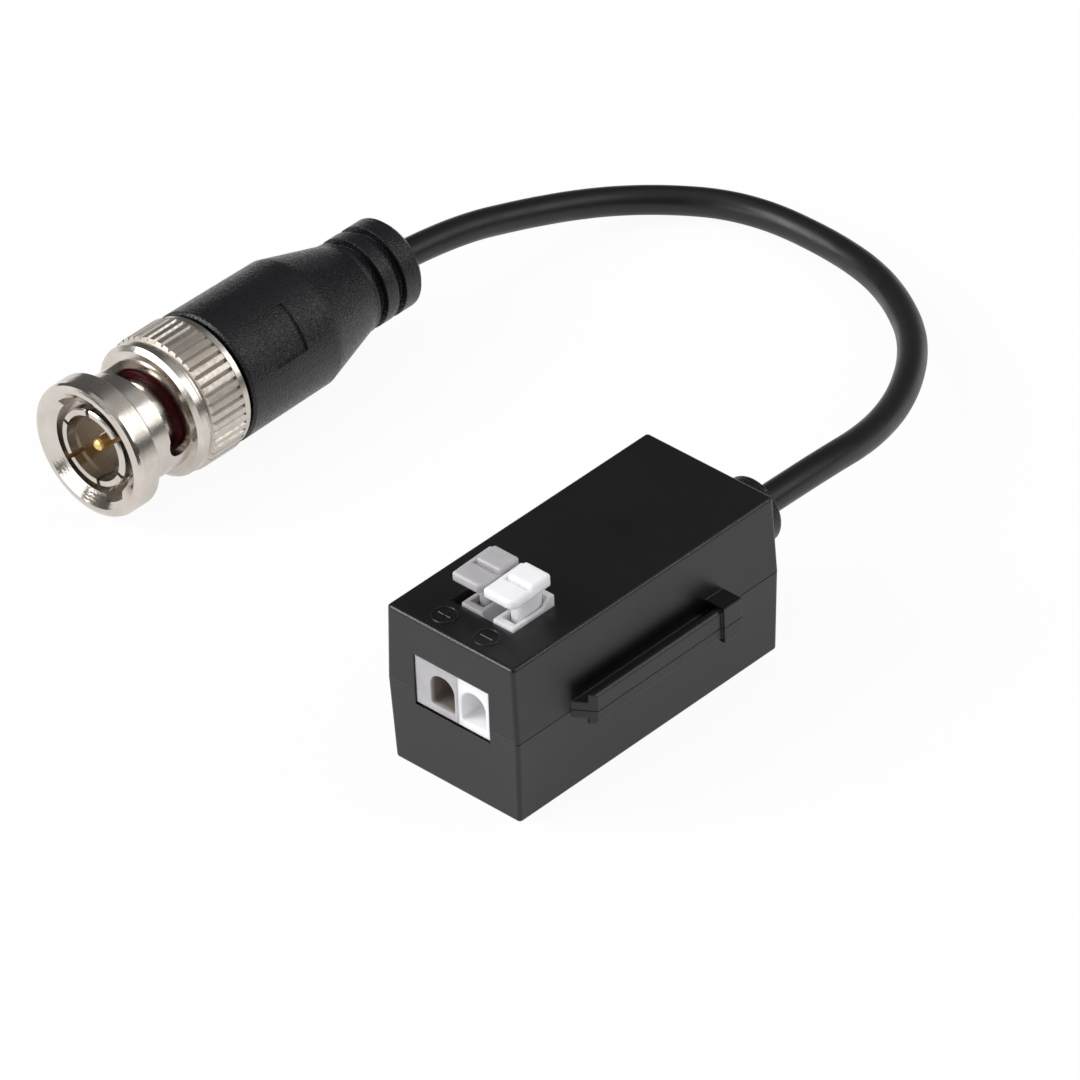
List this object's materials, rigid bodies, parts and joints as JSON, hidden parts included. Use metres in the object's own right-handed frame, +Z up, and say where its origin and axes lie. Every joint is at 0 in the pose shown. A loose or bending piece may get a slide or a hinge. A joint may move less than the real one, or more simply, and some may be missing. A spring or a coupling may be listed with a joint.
{
  "type": "cctv video balun",
  "caption": "Small black snap-together box with a two-pole lever terminal for twisted pair and a short coaxial pigtail ending in an overmoulded bayonet plug.",
  "frame": {"origin": "centre of the housing's base, on the surface that the part lies on", "axes": "+Z up, -Y the terminal end, +Y the cable end, +X the side with the joining rail"},
  "size_m": [0.0745, 0.0882, 0.022],
  "materials": {
    "housing_abs": "fine spark-eroded moulding texture",
    "terminal_grey": "moulded, satin",
    "terminal_white": "moulded, satin",
    "lever_grey": "moulded, satin",
    "lever_white": "moulded, satin",
    "spring_steel": "rolled sheet",
    "tinned_brass": "bright tin plate",
    "board_laminate": "solder mask",
    "ferrite": "coated ferrite",
    "magnet_wire": "enamelled",
    "epoxy_coating": "dipped",
    "ceramic_chip": "fired ceramic",
    "soft_pvc": "extruded and moulded, satin",
    "core_insulation": "extruded",
    "tinned_copper": "twisted strands",
    "plated_brass": "turned, bright nickel plate",
    "insulator_plastic": "moulded",
    "gold_plate": "turned, gold plate",
    "silicone": "moulded seal"
  },
  "bodies": {
    "housing": {"upper_shell": "housing_abs", "lower_shell": "housing_abs", "terminal_block_plus": "terminal_grey", "terminal_block_minus": "terminal_white", "clamp_spring_plus": "spring_steel", "clamp_spring_minus": "spring_steel", "contact_plus": "tinned_brass", "contact_minus": "tinned_brass", "circuit_board": "board_laminate", "transformer_core": "ferrite", "line_winding": "magnet_wire", "coax_winding": "magnet_wire", "surge_suppressor": "epoxy_coating", "chip_components": "ceramic_chip", "strain_relief": "soft_pvc", "cable": "soft_pvc", "inner_core": "core_insulation", "braid_tail": "tinned_copper", "boot": "soft_pvc", "plug_body": "plated_brass", "insulator": "insulator_plastic", "centre_pin": "gold_plate", "plug_core": "core_insulation", "crimp_ferrule": "plated_brass", "gasket": "silicone", "wave_washer": "spring_steel"},
    "plus_lever": {"lever_plus": "lever_grey"},
    "minus_lever": {"lever_minus": "lever_white"},
    "nut_carrier": {"thrust_washer": "plated_brass"},
    "nut": {"coupling_nut": "plated_brass", "retaining_ring": "spring_steel"}
  },
  "joints": [
    {"name": "plus_lever_press", "type": "hinge", "parent": "housing", "child": "plus_lever", "pos_m": [-0.00128, -0.0096, 0.0164], "axis": [1, 0, 0], "range_deg": [0, 18], "stiffness_Nm_per_rad": 0.01, "springref_deg": -17.19, "deforming": ["clamp_spring_plus"]},
    {"name": "minus_lever_press", "type": "hinge", "parent": "housing", "child": "minus_lever", "pos_m": [0.00268, -0.0096, 0.0164], "axis": [1, 0, 0], "range_deg": [0, 18], "stiffness_Nm_per_rad": 0.01, "springref_deg": -17.19, "deforming": ["clamp_spring_minus"]},
    {"name": "nut_slide", "type": "slide", "parent": "housing", "child": "nut_carrier", "axis": [0, -1, 0], "range_m": [0, 0.0007], "stiffness_N_per_m": 6000, "springref_m": -0.0005, "deforming": ["wave_washer"]},
    {"name": "nut_spin", "type": "hinge", "parent": "nut_carrier", "child": "nut", "pos_m": [-0.0567, 0.003, 0.00725], "axis": [0, 1, 0], "continuous": true}
  ]
}
